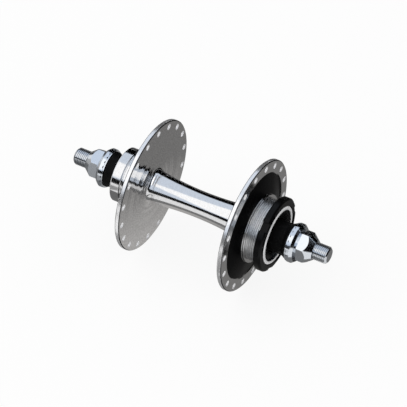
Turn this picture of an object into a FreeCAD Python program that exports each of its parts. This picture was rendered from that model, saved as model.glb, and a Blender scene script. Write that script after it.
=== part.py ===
import FreeCAD, Part
import math
import os

from FreeCAD import Vector

# Rear hub of a track bicycle, large flange, in millimetres.
# The axle lies along Y and the origin is the middle of the hub, on the axle's axis.
# The sprocket is on the right of the bicycle, at -Y, and +X points forwards.
# Outlines are given as (along, radius), with along measured outwards from the middle.
# Angles about the axle start from straight up, +Z, and turn towards +X.

LEFT = 1
RIGHT = -1

# Axle, threaded at both ends, with a keyway for the tabbed washers
axle_end_length = 20.5
axle_diameter = 9.5
axle_tip_chamfer = 1.1
axle_shank_diameter = 9.0
axle_thread_length = 46.5
keyway_width = 2.6
keyway_depth = 1.0
keyway_length = 33.0
keyway_angle = 140.0
thread_clearance = 0.05

# Shell: barrel and flanges
barrel_waist_diameter = 14.4
barrel_end_diameter = 17.8
barrel_bore_diameter = 11.0
barrel_root_radius = 4.2
flange_diameter = 73.5
flange_thickness = 2.6
flange_edge_chamfer = 0.4
spoke_circle_from_rim = 3.25
spokes_per_flange = 18
spoke_hole_diameter = 2.6
spoke_hole_countersink = 0.4

# Shell: the outer side of each flange is a flat band of holes round a dished disc
hole_band_width = 6.55
disc_recess_depth = 0.5
disc_step_width = 0.6
disc_dish_height = 2.45
disc_inner_diameter = 38.0

# Shell: left boss, plain, with one turned groove
left_boss_diameter = 30.0
left_boss_root_radius = 2.0
left_groove_width = 1.4
left_groove_depth = 0.5
left_groove_from_end = 5.2
boss_edge_chamfer = 0.4

# Shell: right boss, with the sprocket's thread and the lockring's smaller one
sprocket_shoulder_width = 1.35
sprocket_thread_diameter = 34.8
sprocket_thread_length = 5.8
lockring_thread_diameter = 32.8
lockring_thread_length = 4.5
right_mouth_diameter = 28.8

# Lockring
lockring_diameter = 41.0
lockring_thickness = 4.2
lockring_face_bevel = 0.9
lockring_back_chamfer = 0.5
lockring_notches = 3
lockring_notch_width = 5.0
lockring_notch_depth = 1.6
lockring_notch_angle = 83.0
lockring_seat_gap = 0.1

# Bearings
ball_diameter = 6.35
balls_per_bearing = 9
ball_circle_diameter = 19.2
race_clearance = 0.08
cup_diameter = 27.4
cup_back_thickness = 1.75
cup_mouth_depth = 2.6
cup_hole_diameter = 14.0
cup_edge_chamfer = 0.4
press_gap = 0.03
cage_cone_clearance = 1.1
cage_cup_clearance = 0.25
cage_start_from_balls = 1.6
cage_length = 2.1
cage_pocket_clearance = 0.1
cone_nose_length = 2.4
cone_shoulder_length = 5.6
cone_shoulder_diameter = 17.6
cone_neck_diameter = 15.7
cone_neck_length = 2.5
cone_flats_across = 13.0

# Dust caps
cap_thickness = 0.8
cap_bore_diameter = 18.6
cap_rim_length = 1.6
cap_set_back = 1.0
right_cap_to_cup = 1.2
left_mouth_to_cup = 6.2

# Rubber boots
boot_wall_gap = 0.05
boot_neck_diameter = 17.6
boot_neck_length = 7.0
boot_rim_diameter = 19.6
boot_lip_length = 1.0

# Locknuts and key washers
width_over_locknuts = 110.0
locknut_length = 7.3
locknut_head_thickness = 0.8
locknut_head_diameter = 21.0
locknut_flats_across = 14.0
key_washer_thickness = 1.2
key_washer_diameter = 15.6
key_tab_clearance = 0.1

# Track nuts and their captive washers
nut_washer_diameter = 21.6
nut_washer_thickness = 3.5
nut_washer_bevel_length = 1.5
nut_washer_face_diameter = 19.2
nut_washer_teeth = 24
nut_washer_tooth_depth = 0.45
nut_washer_tooth_gap = 0.9
captive_clearance = 0.05
nut_skirt_diameter = 14.4
nut_lip_diameter = 16.0
nut_lip_length = 1.15
nut_lip_set_back = 0.3
nut_across_flats = 15.0
nut_neck_length = 0.9
nut_length = 8.0
nut_end_diameter = 10.6
nut_cone_angle = 38.0
nut_back_chamfer = 0.2
nut_corner_angle = {LEFT: 13.9, RIGHT: -1.6}

# Places along the axle that several pieces share, worked inwards from the locknuts' faces
locknut_face = width_over_locknuts / 2
locknut_head_back = locknut_face - locknut_head_thickness
locknut_start = locknut_face - locknut_length
cone_end = locknut_start - key_washer_thickness
boot_start = cone_end - cone_neck_length
ball_plane = boot_start - cone_shoulder_length
groove_radius = ball_diameter / 2 + race_clearance
cup_back = ball_plane - groove_radius - cup_back_thickness
cup_mouth = ball_plane + cup_mouth_depth
right_cap_seat = cup_mouth + right_cap_to_cup
right_boss_end = right_cap_seat + cap_rim_length + cap_thickness + cap_set_back
left_boss_end = cup_mouth + left_mouth_to_cup
boss_end = {LEFT: left_boss_end, RIGHT: right_boss_end}
lockring_step = right_boss_end - lockring_thread_length
sprocket_shoulder = lockring_step - sprocket_thread_length
boss_base = sprocket_shoulder - sprocket_shoulder_width
flange_outer_face = boss_base - disc_dish_height
flange_inner_face = flange_outer_face - flange_thickness
flange_middle = flange_outer_face - flange_thickness / 2
disc_step_face = flange_outer_face - disc_recess_depth

# Places outside the locknuts
axle_tip = locknut_face + axle_end_length
nut_washer_face = locknut_face + nut_washer_thickness
nut_hex_start = nut_washer_face + nut_neck_length
nut_end = nut_hex_start + nut_length

# Radii that several pieces share
flange_rim = flange_diameter / 2
spoke_circle = flange_rim - spoke_circle_from_rim
axle_radius = axle_diameter / 2
threaded_bore = axle_radius + thread_clearance
ball_circle = ball_circle_diameter / 2
shell_bore = cup_diameter / 2 + press_gap
cap_seat = {LEFT: shell_bore, RIGHT: right_mouth_diameter / 2}
cap_bore = cap_bore_diameter / 2
boss_radius = left_boss_diameter / 2
disc_inner = disc_inner_diameter / 2
sprocket_thread = sprocket_thread_diameter / 2
lockring_thread = lockring_thread_diameter / 2


def point(along, radius):
    """A point of an outline, in the plane x = 0 above the axle."""
    return Vector(0, along, radius)


def polar(radius, degrees, along=0.0):
    """A point at an angle about the axle."""
    angle = math.radians(degrees)
    return Vector(radius * math.sin(angle), along, radius * math.cos(angle))


def arc(centre, radius, first, last):
    """The middle and end points of an arc in an outline, its angles from the outward direction."""
    ends = []
    for degrees in ((first + last) / 2, last):
        angle = math.radians(degrees)
        ends.append((centre[0] + radius * math.cos(angle), centre[1] + radius * math.sin(angle)))
    return tuple(ends)


def turned(side, start, *steps):
    """A solid turned about the axle from a closed outline of points and arcs."""
    def place(at):
        return point(side * at[0], at[1])

    edges = []
    here = start
    for step in steps + (start,):
        if isinstance(step[0], tuple):
            middle, end = step
            edges.append(Part.Arc(place(here), place(middle), place(end)).toShape())
        else:
            end = step
            edges.append(Part.LineSegment(place(here), place(end)).toShape())
        here = end
    face = Part.Face(Part.Wire(edges))
    return face.revolve(Vector(0, 0, 0), Vector(0, 1, 0), 360)


def about_axle(shape, degrees):
    """A copy of a shape turned about the axle."""
    copy = shape.copy()
    copy.rotate(Vector(0, 0, 0), Vector(0, 1, 0), degrees)
    return copy


def block(width, low, high, first, last, side):
    """A block above the axle: width along X, low to high above the axis, first to last along it."""
    start = min(side * first, side * last)
    return Part.makeBox(width, abs(last - first), high - low, Vector(-width / 2, start, low))


def with_flats(shape, across, first, last, side):
    """Cuts two spanner flats on a round neck."""
    reach = across
    cutter = block(2 * reach, across / 2, reach, first, last, side)
    return shape.cut([cutter, about_axle(cutter, 180)])


def spoke_hole(side, degrees):
    """The cutter for one spoke hole, countersunk from both faces of the flange."""
    radius = spoke_hole_diameter / 2
    half = flange_thickness / 2
    over = 0.5
    wide = radius + spoke_hole_countersink + over
    cutter = turned(
        1,
        (-half - over, 0),
        (-half - over, wide),
        (-half + spoke_hole_countersink, radius),
        (half - spoke_hole_countersink, radius),
        (half + over, wide),
        (half + over, 0),
    )
    cutter.translate(polar(spoke_circle, degrees, side * flange_middle))
    return cutter


def flange_outside(sign):
    """The outline of a flange from its inner face, round the rim, to the foot of the dished disc."""
    band = flange_rim - hole_band_width
    chamfer = flange_edge_chamfer
    return [
        (sign * flange_inner_face, flange_rim - chamfer),
        (sign * (flange_inner_face + chamfer), flange_rim),
        (sign * (flange_outer_face - chamfer), flange_rim),
        (sign * flange_outer_face, flange_rim - chamfer),
        (sign * flange_outer_face, band),
        (sign * disc_step_face, band - disc_step_width),
    ]


def left_outside():
    """The left boss's outline, from its mouth to the dished disc."""
    groove_outer = left_boss_end - left_groove_from_end
    groove_inner = groove_outer - left_groove_width
    root = left_boss_root_radius
    root_top = boss_base + root
    return [
        (left_boss_end, boss_radius - boss_edge_chamfer),
        (left_boss_end - boss_edge_chamfer, boss_radius),
        (groove_outer, boss_radius),
        (groove_outer - left_groove_depth, boss_radius - left_groove_depth),
        (groove_inner + left_groove_depth, boss_radius - left_groove_depth),
        (groove_inner, boss_radius),
        (root_top, boss_radius),
        arc((root_top, boss_radius + root), root, -90, -180),
        (boss_base, disc_inner),
    ]


def barrel_outside():
    """The waisted barrel's outline, with a round root at each flange."""
    end = barrel_end_diameter / 2
    root = barrel_root_radius
    root_start = flange_inner_face - root
    return [
        (flange_inner_face, end + root),
        arc((root_start, end + root), root, 0, -90),
        ((0, barrel_waist_diameter / 2), (-root_start, end)),
        arc((-root_start, end + root), root, -90, -180),
    ]


def right_outside():
    """The right boss's outline, from the dished disc to its mouth."""
    chamfer = boss_edge_chamfer
    return [
        (-boss_base, disc_inner),
        (-sprocket_shoulder, disc_inner),
        (-sprocket_shoulder, sprocket_thread),
        (-lockring_step, sprocket_thread),
        (-lockring_step, lockring_thread),
        (-right_boss_end + chamfer, lockring_thread),
        (-right_boss_end, lockring_thread - chamfer),
    ]


def shell_inside():
    """The outline of the bores, from the right mouth to the left one."""
    bore = barrel_bore_diameter / 2
    mouth = right_mouth_diameter / 2
    hole = cup_hole_diameter / 2
    funnel = cup_back - (hole - bore)
    return [
        (-right_boss_end, mouth),
        (-right_cap_seat, mouth),
        (-right_cap_seat, shell_bore),
        (-cup_back, shell_bore),
        (-cup_back, hole),
        (-funnel, bore),
        (funnel, bore),
        (cup_back, hole),
        (cup_back, shell_bore),
        (left_boss_end, shell_bore),
    ]


def hub_shell():
    """Barrel, flanges and bosses in one forged and turned piece."""
    left_flange = list(reversed(flange_outside(LEFT)))
    points = left_outside() + left_flange + barrel_outside() + flange_outside(RIGHT)
    points += right_outside() + shell_inside()
    body = turned(1, *points)
    step = 360 / spokes_per_flange
    holes = []
    for number in range(spokes_per_flange):
        holes.append(spoke_hole(RIGHT, number * step))
        holes.append(spoke_hole(LEFT, (number + 0.5) * step))
    return body.cut(holes)


def lockring():
    """Ring for the left-hand thread outside the sprocket, with hook-spanner notches."""
    back = lockring_step + lockring_seat_gap
    face = back + lockring_thickness
    bore = lockring_thread + thread_clearance
    rim = lockring_diameter / 2
    ring = turned(
        RIGHT,
        (back, bore),
        (back, rim - lockring_back_chamfer),
        (back + lockring_back_chamfer, rim),
        (face - lockring_face_bevel, rim),
        (face, rim - lockring_face_bevel),
        (face, bore),
    )
    notch = block(lockring_notch_width, rim - lockring_notch_depth, rim + 1, back - 1, face + 1, RIGHT)
    step = 360 / lockring_notches
    notches = [about_axle(notch, lockring_notch_angle + n * step) for n in range(lockring_notches)]
    return ring.cut(notches)


def bearing_cup(side):
    """Hardened outer race, pressed into the shell and open outwards."""
    rim = cup_diameter / 2
    hole = cup_hole_diameter / 2
    return turned(
        side,
        (cup_mouth, ball_circle + groove_radius),
        (ball_plane, ball_circle + groove_radius),
        arc((ball_plane, ball_circle), groove_radius, 90, 180),
        (ball_plane - groove_radius, hole),
        (cup_back, hole),
        (cup_back, rim - cup_edge_chamfer),
        (cup_back + cup_edge_chamfer, rim),
        (cup_mouth, rim),
    )


def balls(side):
    """The loose balls of one bearing."""
    step = 360 / balls_per_bearing
    places = [polar(ball_circle, n * step, side * ball_plane) for n in range(balls_per_bearing)]
    return Part.makeCompound([Part.makeSphere(ball_diameter / 2, place) for place in places])


def ball_cage(side):
    """Crown-shaped retainer: a ring outboard of the balls, with fingers between them."""
    start = ball_plane + cage_start_from_balls
    end = start + cage_length
    inner = cone_shoulder_diameter / 2 + cage_cone_clearance
    outer = ball_circle + groove_radius - cage_cup_clearance
    ring = turned(side, (start, inner), (start, outer), (end, outer), (end, inner))
    step = 360 / balls_per_bearing
    radius = ball_diameter / 2 + cage_pocket_clearance
    places = [polar(ball_circle, n * step, side * ball_plane) for n in range(balls_per_bearing)]
    return ring.cut([Part.makeSphere(radius, place) for place in places])


def cone(side):
    """Inner race, screwed onto the axle, with spanner flats on its neck."""
    neck = cone_neck_diameter / 2
    shoulder = cone_shoulder_diameter / 2
    groove_end = math.degrees(math.acos((ball_circle - shoulder) / groove_radius))
    shape = turned(
        side,
        (ball_plane - cone_nose_length, threaded_bore),
        (ball_plane - cone_nose_length, ball_circle - groove_radius),
        (ball_plane, ball_circle - groove_radius),
        arc((ball_plane, ball_circle), groove_radius, -90, -90 + groove_end),
        (boot_start, shoulder),
        (boot_start, neck),
        (cone_end, neck),
        (cone_end, threaded_bore),
    )
    return with_flats(shape, cone_flats_across, boot_start, cone_end, side)


def dust_cap(side):
    """Pressed cap in the boss's mouth, clear of the boot that turns inside it."""
    rim = cap_seat[side] - press_gap
    face = boss_end[side] - cap_set_back
    back = face - cap_thickness
    bend = cap_thickness
    return turned(
        side,
        (face, cap_bore),
        (face, rim - bend),
        arc((face - bend, rim - bend), bend, 0, 90),
        (back - cap_rim_length, rim),
        (back - cap_rim_length, rim - cap_thickness),
        (back, rim - cap_thickness),
        (back, cap_bore),
    )


def seal_boot(side):
    """Rubber sleeve over the cone's neck and the locknut, flared to the locknut's head."""
    bore = cone_neck_diameter / 2 + boot_wall_gap
    neck = boot_neck_diameter / 2
    rim = boot_rim_diameter / 2
    flare_start = boot_start + boot_neck_length
    lip = locknut_head_back - boot_lip_length
    flare_middle = ((flare_start + lip) / 2, neck + (rim - neck) * 0.38)
    return turned(
        side,
        (boot_start, bore),
        (boot_start, neck),
        (flare_start, neck),
        (flare_middle, (lip, rim)),
        (locknut_head_back, rim),
        (locknut_head_back, bore),
    )


def key_washer(side):
    """Washer whose tab sits in the axle's keyway, so that the locknut can't turn the cone."""
    ring = turned(
        side,
        (cone_end, threaded_bore),
        (cone_end, key_washer_diameter / 2),
        (locknut_start, key_washer_diameter / 2),
        (locknut_start, threaded_bore),
    )
    floor = axle_radius - keyway_depth
    width = keyway_width - 2 * key_tab_clearance
    root = (threaded_bore + key_washer_diameter / 2) / 2
    tab = block(width, floor + key_tab_clearance, root, cone_end, locknut_start, side)
    return ring.fuse(about_axle(tab, keyway_angle)).removeSplitter()


def locknut(side):
    """Round nut that locks the cone; its face bears on the frame."""
    neck = cone_neck_diameter / 2
    head = locknut_head_diameter / 2
    shape = turned(
        side,
        (locknut_start, threaded_bore),
        (locknut_start, neck),
        (locknut_head_back, neck),
        (locknut_head_back, head),
        (locknut_face, head),
        (locknut_face, threaded_bore),
    )
    flats_end = locknut_head_back - boot_lip_length
    return with_flats(shape, locknut_flats_across, locknut_start, flats_end, side)


def axle():
    """Solid axle, threaded at both ends, with a keyway cut in from each end."""
    tip = axle_tip_chamfer
    shank = axle_shank_diameter / 2
    shank_end = axle_tip - axle_thread_length
    shoulder = shank_end + (axle_radius - shank)
    half = [(shank_end, shank), (shoulder, axle_radius)]
    half += [(axle_tip - tip, axle_radius), (axle_tip, axle_radius - tip)]
    mirrored = [(-along, radius) for along, radius in reversed(half)]
    body = turned(1, (axle_tip, 0), (-axle_tip, 0), *(mirrored + half))
    keyways = []
    for side in (LEFT, RIGHT):
        start = axle_tip - keyway_length
        floor = axle_radius - keyway_depth
        slot = block(keyway_width, floor, axle_radius + 1, start, axle_tip + 1, side)
        keyways.append(about_axle(slot, keyway_angle))
    return body.cut(keyways)


def nut_washer(side):
    """Captive washer of a track nut, bevelled outside, toothed where it grips the frame."""
    bore = nut_skirt_diameter / 2 + captive_clearance
    lip_room = nut_lip_diameter / 2 + 2 * captive_clearance
    lip_floor = locknut_face + nut_lip_set_back + nut_lip_length + captive_clearance
    rim = nut_washer_diameter / 2
    ring = turned(
        side,
        (locknut_face, lip_room),
        (locknut_face, rim),
        (nut_washer_face - nut_washer_bevel_length, rim),
        (nut_washer_face, nut_washer_face_diameter / 2),
        (nut_washer_face, bore),
        (lip_floor, bore),
        (lip_floor, lip_room),
    )
    tooth_floor = locknut_face + nut_washer_tooth_depth
    cutter = block(nut_washer_tooth_gap, lip_room - 1, rim + 1, locknut_face - 1, tooth_floor, side)
    step = 360 / nut_washer_teeth
    return ring.cut([about_axle(cutter, n * step) for n in range(nut_washer_teeth)])


def track_nut(side):
    """Hexagon nut with a coned end and a skirt that carries the captive washer."""
    corner = nut_across_flats / 2 / math.cos(math.radians(30))
    cone_length = (corner - nut_end_diameter / 2) / math.tan(math.radians(nut_cone_angle))
    envelope = turned(
        side,
        (nut_hex_start, threaded_bore),
        (nut_hex_start, corner - nut_back_chamfer),
        (nut_hex_start + nut_back_chamfer, corner),
        (nut_end - cone_length, corner),
        (nut_end, nut_end_diameter / 2),
        (nut_end, threaded_bore),
    )
    turn = nut_corner_angle[side]
    corners = [polar(corner, turn + 60 * n, side * nut_hex_start) for n in range(6)]
    section = Part.Face(Part.makePolygon(corners + [corners[0]]))
    prism = section.extrude(Vector(0, side * nut_length, 0))
    lip_start = locknut_face + nut_lip_set_back
    lip_end = lip_start + nut_lip_length
    skirt = turned(
        side,
        (lip_start, threaded_bore),
        (lip_start, nut_lip_diameter / 2),
        (lip_end, nut_lip_diameter / 2),
        (lip_end, nut_skirt_diameter / 2),
        (nut_hex_start, nut_skirt_diameter / 2),
        (nut_hex_start, threaded_bore),
    )
    return envelope.common(prism).fuse(skirt).removeSplitter()


def all_pieces():
    """Every piece of the hub, by the name of its node."""
    pieces = {"hub_shell": hub_shell(), "lockring": lockring(), "axle": axle()}
    makers = {
        "bearing_cup": bearing_cup,
        "balls": balls,
        "ball_cage": ball_cage,
        "cone": cone,
        "dust_cap": dust_cap,
        "seal_boot": seal_boot,
        "key_washer": key_washer,
        "locknut": locknut,
        "nut_washer": nut_washer,
        "track_nut": track_nut,
    }
    for name, maker in makers.items():
        pieces["left_" + name] = maker(LEFT)
        pieces["right_" + name] = maker(RIGHT)
    return pieces


def main():
    os.makedirs("parts", exist_ok=True)
    for name, shape in all_pieces().items():
        shape.exportStep("parts/" + name + ".step")
        print(name, len(shape.Solids), "solids,", round(shape.Volume, 1), "mm3, valid", shape.isValid())


main()
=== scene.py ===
# %% [markdown]
# # Dressing a track hub
#
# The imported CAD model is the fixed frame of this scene: every piece below is in metres, in the
# frame's own axes. The axle lies along Y, the sprocket's side is at -Y and +Z is up. The solids
# already have the right shapes, so this lesson adds what they leave out: cut threads, rounded
# edges, finishes, a floor and studio light.

# %% Load the frame
import math

import bmesh
import bpy
from mathutils import Matrix, Vector


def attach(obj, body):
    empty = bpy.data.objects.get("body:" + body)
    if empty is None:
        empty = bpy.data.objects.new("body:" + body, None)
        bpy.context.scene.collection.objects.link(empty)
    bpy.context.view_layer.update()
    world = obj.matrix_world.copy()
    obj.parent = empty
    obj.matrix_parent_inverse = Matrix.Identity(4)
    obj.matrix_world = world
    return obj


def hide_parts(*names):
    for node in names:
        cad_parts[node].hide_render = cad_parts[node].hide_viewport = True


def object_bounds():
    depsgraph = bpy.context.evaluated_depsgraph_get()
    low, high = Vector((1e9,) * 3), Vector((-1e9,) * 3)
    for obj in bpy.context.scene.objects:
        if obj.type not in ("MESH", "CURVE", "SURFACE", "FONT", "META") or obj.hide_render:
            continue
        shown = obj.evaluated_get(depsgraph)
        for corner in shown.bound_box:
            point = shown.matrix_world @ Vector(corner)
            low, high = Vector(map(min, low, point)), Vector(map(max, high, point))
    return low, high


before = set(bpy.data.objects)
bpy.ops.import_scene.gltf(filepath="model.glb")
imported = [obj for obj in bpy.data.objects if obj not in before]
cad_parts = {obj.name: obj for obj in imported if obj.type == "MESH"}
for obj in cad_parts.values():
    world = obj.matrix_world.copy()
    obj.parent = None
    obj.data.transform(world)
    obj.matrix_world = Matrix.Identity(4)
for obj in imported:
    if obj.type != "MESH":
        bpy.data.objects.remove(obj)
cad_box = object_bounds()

MM = 0.001
LEFT, RIGHT = 1, -1

# %% [markdown]
# ## The camera
#
# The picture was taken from in front of the hub's left shoulder and well above it, with a long
# lens. The viewing angles come from matching the circles of the two flanges and the line of the
# axle. A camera can be aimed with a Track To constraint, but a matrix built from its own right, up
# and back directions also holds the slight roll of the picture.

# %% Place the camera
PICTURE_WIDTH = 407
PIXELS_PER_METRE = 1908.5
CAMERA_DISTANCE = 1.7036
CAMERA_AZIMUTH = math.radians(-61.985)
CAMERA_ELEVATION = math.radians(45.453)
CAMERA_ROLL = math.radians(1.008)
# The middle of the axle, and how many pixels right of and below the picture's centre it lies.
AIM = Vector((0, -0.0013, 0))
AIM_RIGHT_OF_CENTRE = 0.06
AIM_BELOW_CENTRE = 2.31

back = Vector((
    math.sin(CAMERA_AZIMUTH) * math.cos(CAMERA_ELEVATION),
    -math.cos(CAMERA_AZIMUTH) * math.cos(CAMERA_ELEVATION),
    math.sin(CAMERA_ELEVATION),
))
level_right = Vector((math.cos(CAMERA_AZIMUTH), math.sin(CAMERA_AZIMUTH), 0))
level_up = back.cross(level_right)
right = level_right * math.cos(CAMERA_ROLL) + level_up * math.sin(CAMERA_ROLL)
up = back.cross(right)

camera_data = bpy.data.cameras.new("camera")
camera_data.sensor_width = 36
camera_data.lens = PIXELS_PER_METRE * CAMERA_DISTANCE * camera_data.sensor_width / PICTURE_WIDTH
camera_data.clip_start = 0.05
camera_data.clip_end = 50
camera = bpy.data.objects.new("camera", camera_data)
turn = Matrix((right, up, back)).transposed().to_4x4()
aside = up * AIM_BELOW_CENTRE - right * AIM_RIGHT_OF_CENTRE
turn.translation = AIM + back * CAMERA_DISTANCE + aside / PIXELS_PER_METRE
camera.matrix_world = turn
bpy.context.scene.collection.objects.link(camera)
bpy.context.scene.camera = camera
print("lens", round(camera_data.lens, 1), "mm")

# %% [markdown]
# ## Small helpers for node trees
#
# Materials and Geometry Nodes are both node trees, so one function that adds a node, sets it and
# links it serves for both. Colours are written as the hex values of a paint chart and turned to
# the linear values that the renderer works in.


# %% Node and colour helpers
def colour(hex_value):
    """Linear red, green, blue and alpha of an sRGB hex colour."""
    channels = [int(hex_value[i:i + 2], 16) / 255 for i in (1, 3, 5)]
    return [c / 12.92 if c <= 0.04045 else ((c + 0.055) / 1.055) ** 2.4 for c in channels] + [1]


def add(tree, kind, inputs=None, **settings):
    """Adds one node: settings are its options, inputs are values or other nodes' outputs."""
    made = tree.nodes.new(kind)
    for name, value in settings.items():
        setattr(made, name, value)
    for key, value in (inputs or {}).items():
        if isinstance(value, bpy.types.NodeSocket):
            tree.links.new(value, made.inputs[key])
        else:
            made.inputs[key].default_value = value
    return made


print("middle grey in linear values:", [round(value, 3) for value in colour("#808080")])

# %% [markdown]
# ## Turned surfaces
#
# Nearly everything on a hub comes off a lathe, so its finish runs round the axle. On a sleeve the
# tool marks are lines at one height along Y; on a face they are circles of one radius. A noise
# that reads only those two numbers, the place along the axle and the distance from it, draws both
# at once. The real marks are a few hundredths of a millimetre apart, too fine to show, so here
# they are drawn about three to the millimetre.
#
# Two more things make buffed metal look real. Grain is a second colour in soft specks, finer on the
# real hub than the 0.8 mm at which it shows here. Ripple is the slow waviness that a buffing wheel
# leaves round the root of a flange, where it can't lie flat. It bends what the flange mirrors into
# bands and dies away towards the rim. It is a few hundredths of a millimetre deep on the real face,
# and is drawn deeper so that it shows.


# %% Tool marks and patches
MARKS_PER_MM, GLOSS_PATCH_MM, GRAIN_MM = 3.0, 9.0, 0.8


def along_and_out(tree):
    """The place along the axle and the distance from it, as two outputs."""
    place = add(tree, "ShaderNodeTexCoord").outputs["Object"]
    parts = add(tree, "ShaderNodeSeparateXYZ", {0: place})
    across = add(tree, "ShaderNodeCombineXYZ", {"X": parts.outputs["X"], "Z": parts.outputs["Z"]})
    radius = add(tree, "ShaderNodeVectorMath", {0: across.outputs[0]}, operation="LENGTH")
    return parts.outputs["Y"], radius.outputs["Value"]


def lathe_marks(tree, per_mm):
    """A noise in rings round the axle, about per_mm rings to the millimetre."""
    along, radius = along_and_out(tree)
    ring = add(tree, "ShaderNodeCombineXYZ", {"X": along, "Y": radius})
    return add(tree, "ShaderNodeTexNoise", {
        "Vector": ring.outputs[0],
        "Scale": per_mm / MM,
        "Detail": 2.0,
        "Roughness": 0.6,
    }, noise_dimensions="2D").outputs[0]


def blotches(tree, size_mm):
    """A soft noise with patches of about that size."""
    place = add(tree, "ShaderNodeTexCoord").outputs["Object"]
    return add(tree, "ShaderNodeTexNoise", {
        "Vector": place,
        "Scale": 1 / (size_mm * MM),
        "Detail": 3.0,
    }).outputs[0]


print("marks every", round(1 / MARKS_PER_MM, 2), "mm, grain of", GRAIN_MM, "mm")

# %% [markdown]
# One function makes every finish of the hub. The lathe marks go into its bump and the patches into
# its gloss, so that no two highlights are equally sharp. A Bump node takes another's result as its
# Normal, and that is how the slow ripple comes under the fine marks.


# %% One material for each finish
# A noise keeps near its middle, so these two values are stretched to the ends of a range.
NOISE_LOW, NOISE_HIGH = 0.3, 0.7
# Ripples to the millimetre, where they begin and end to fade, and what is left of them at the rim.
RIPPLE_PER_MM = 0.12
RIPPLE_INNER_MM, RIPPLE_OUTER_MM, RIPPLE_AT_RIM = 10, 35, 0.16
# The numbers of a Mix node's two colour inputs and its colour output.
MIX_A, MIX_B, MIX_RESULT = 6, 7, 2


def finish(name, hex_value, metallic, roughness, mark_depth_mm=0.004, grain=None, ripple_mm=None,
           **shader_values):
    """A material with lathe marks and glossy patches, and with grain and ripple where asked."""
    material = bpy.data.materials.new(name)
    material.use_nodes = True
    tree = material.node_tree
    shader = tree.nodes["Principled BSDF"]
    shader.inputs["Base Color"].default_value = colour(hex_value)
    shader.inputs["Metallic"].default_value = metallic
    for socket, value in shader_values.items():
        shader.inputs[socket.replace("_", " ")].default_value = value
    if grain:
        specks = add(tree, "ShaderNodeMapRange", {
            0: blotches(tree, GRAIN_MM), 1: NOISE_LOW, 2: NOISE_HIGH,
        })
        grained = add(tree, "ShaderNodeMix", {
            "Factor": specks.outputs[0], MIX_A: colour(hex_value), MIX_B: colour(grain),
        }, data_type="RGBA")
        tree.links.new(grained.outputs[MIX_RESULT], shader.inputs["Base Color"])
    gloss = add(tree, "ShaderNodeMapRange", {
        0: blotches(tree, GLOSS_PATCH_MM), 1: NOISE_LOW, 2: NOISE_HIGH, 3: roughness[0], 4: roughness[1],
    })
    tree.links.new(gloss.outputs[0], shader.inputs["Roughness"])
    bump = add(tree, "ShaderNodeBump", {
        "Height": lathe_marks(tree, MARKS_PER_MM),
        "Strength": 1.0,
        "Distance": mark_depth_mm * MM,
    })
    tree.links.new(bump.outputs[0], shader.inputs["Normal"])
    if ripple_mm:
        fade = add(tree, "ShaderNodeMapRange", {
            0: along_and_out(tree)[1], 1: RIPPLE_INNER_MM * MM, 2: RIPPLE_OUTER_MM * MM,
            3: 1.0, 4: RIPPLE_AT_RIM,
        })
        height = add(tree, "ShaderNodeMath", {
            0: lathe_marks(tree, RIPPLE_PER_MM), 1: fade.outputs[0],
        }, operation="MULTIPLY")
        ripple = add(tree, "ShaderNodeBump", {
            "Height": height.outputs[0],
            "Strength": 1.0,
            "Distance": ripple_mm * MM,
        })
        tree.links.new(ripple.outputs[0], bump.inputs["Normal"])
    return material


# %% [markdown]
# ## The finishes
#
# The shell is forged aluminium, turned, buffed and clear anodised, and each tool leaves its own
# look on it, so it has five finishes besides the black, and a sixth that is painted: its chamfers
# are darkened to draw a dark line beside the rim, a painted reflection. The band inside the spoke
# holes is dyed in the same bath, so it stays smooth. The lockring is steel with a black oxide, the
# caps are black enamel and the boots are nitrile rubber. Nuts, washers and locknuts are bright zinc
# on steel, which looks a little blue, and the axle is rolled chromoly with a thinner plate.
#
# A metal's colour is its reflection, so its hex value is bright and its roughness says how sharply
# it mirrors the studio. The black finishes reflect far less than bare plastic would, because their
# pores break up the light, and a low specular level says so.

# %% The shell's finishes
# Buffed to a mirror: it shows the studio as it is, with faint rings.
polished_aluminium = finish("polished_anodised_aluminium", "#E2E2E3", 1.0, (0.08, 0.15), grain="#D4D4D4")
# As the threading tool left it: duller, so that each ridge reads as a grey line.
cut_aluminium = finish("cut_anodised_aluminium", "#E2E3E4", 1.0, (0.28, 0.42), mark_depth_mm=0.006,
                       grain="#C4C4C4")
# Drilled or faced and then etched in the bath: satin, so it looks pale from anywhere.
faced_aluminium = finish("faced_anodised_aluminium", "#FBFBFC", 0.25, (0.36, 0.46))
# The rim is skimmed last with a fine feed: half bright, with one soft highlight all along it.
rim_aluminium = finish("turned_rim_aluminium", "#F0F0F2", 0.8, (0.16, 0.26), grain="#E4E4E4")
# The inner faces of the flanges and their roots: a mirror with specks and ripples.
buffed_aluminium = finish("buffed_flange_aluminium", "#EEEEEF", 1.0, (0.06, 0.11), grain="#BCBCBC",
                          ripple_mm=1.25)
# Painted dark grey: the chamfers' metal colour is darkened to draw a thin dark line beside the rim, a painted
# dark reflection along the edge.
painted_dark_chamfer = finish("chamfer_painted_dark_line", "#4A4A4C", 1.0, (0.30, 0.45))
# Dyed in its pores: nearly black, smooth, and with hardly any shine.
black_aluminium = finish("black_anodised_aluminium", "#070708", 0.0, (0.24, 0.36), mark_depth_mm=0.002,
                         Specular_IOR_Level=0.03)

# %% The other finishes
# An oiled oxide skin: black, with a low sheen that finds the edges.
black_oxide = finish("black_oxide_steel", "#070708", 0.0, (0.22, 0.34), mark_depth_mm=0.003,
                     Specular_IOR_Level=0.12)
# Stoved paint on pressed sheet: the smoothest of the blacks.
black_enamel = finish("black_enamelled_steel", "#060607", 0.0, (0.20, 0.28), mark_depth_mm=0.0,
                      Specular_IOR_Level=0.04)
# Rubber from a blasted mould: matt, so it never shows a sharp reflection.
nitrile_rubber = finish("moulded_nitrile_rubber", "#0A0A0A", 0.0, (0.40, 0.54), mark_depth_mm=0.003,
                        Specular_IOR_Level=0.10)
# Bright dip zinc: as sharp as chrome, but bluer.
bright_zinc = finish("bright_zinc_plated_steel", "#D9DEE4", 1.0, (0.08, 0.18), mark_depth_mm=0.003)
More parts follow.
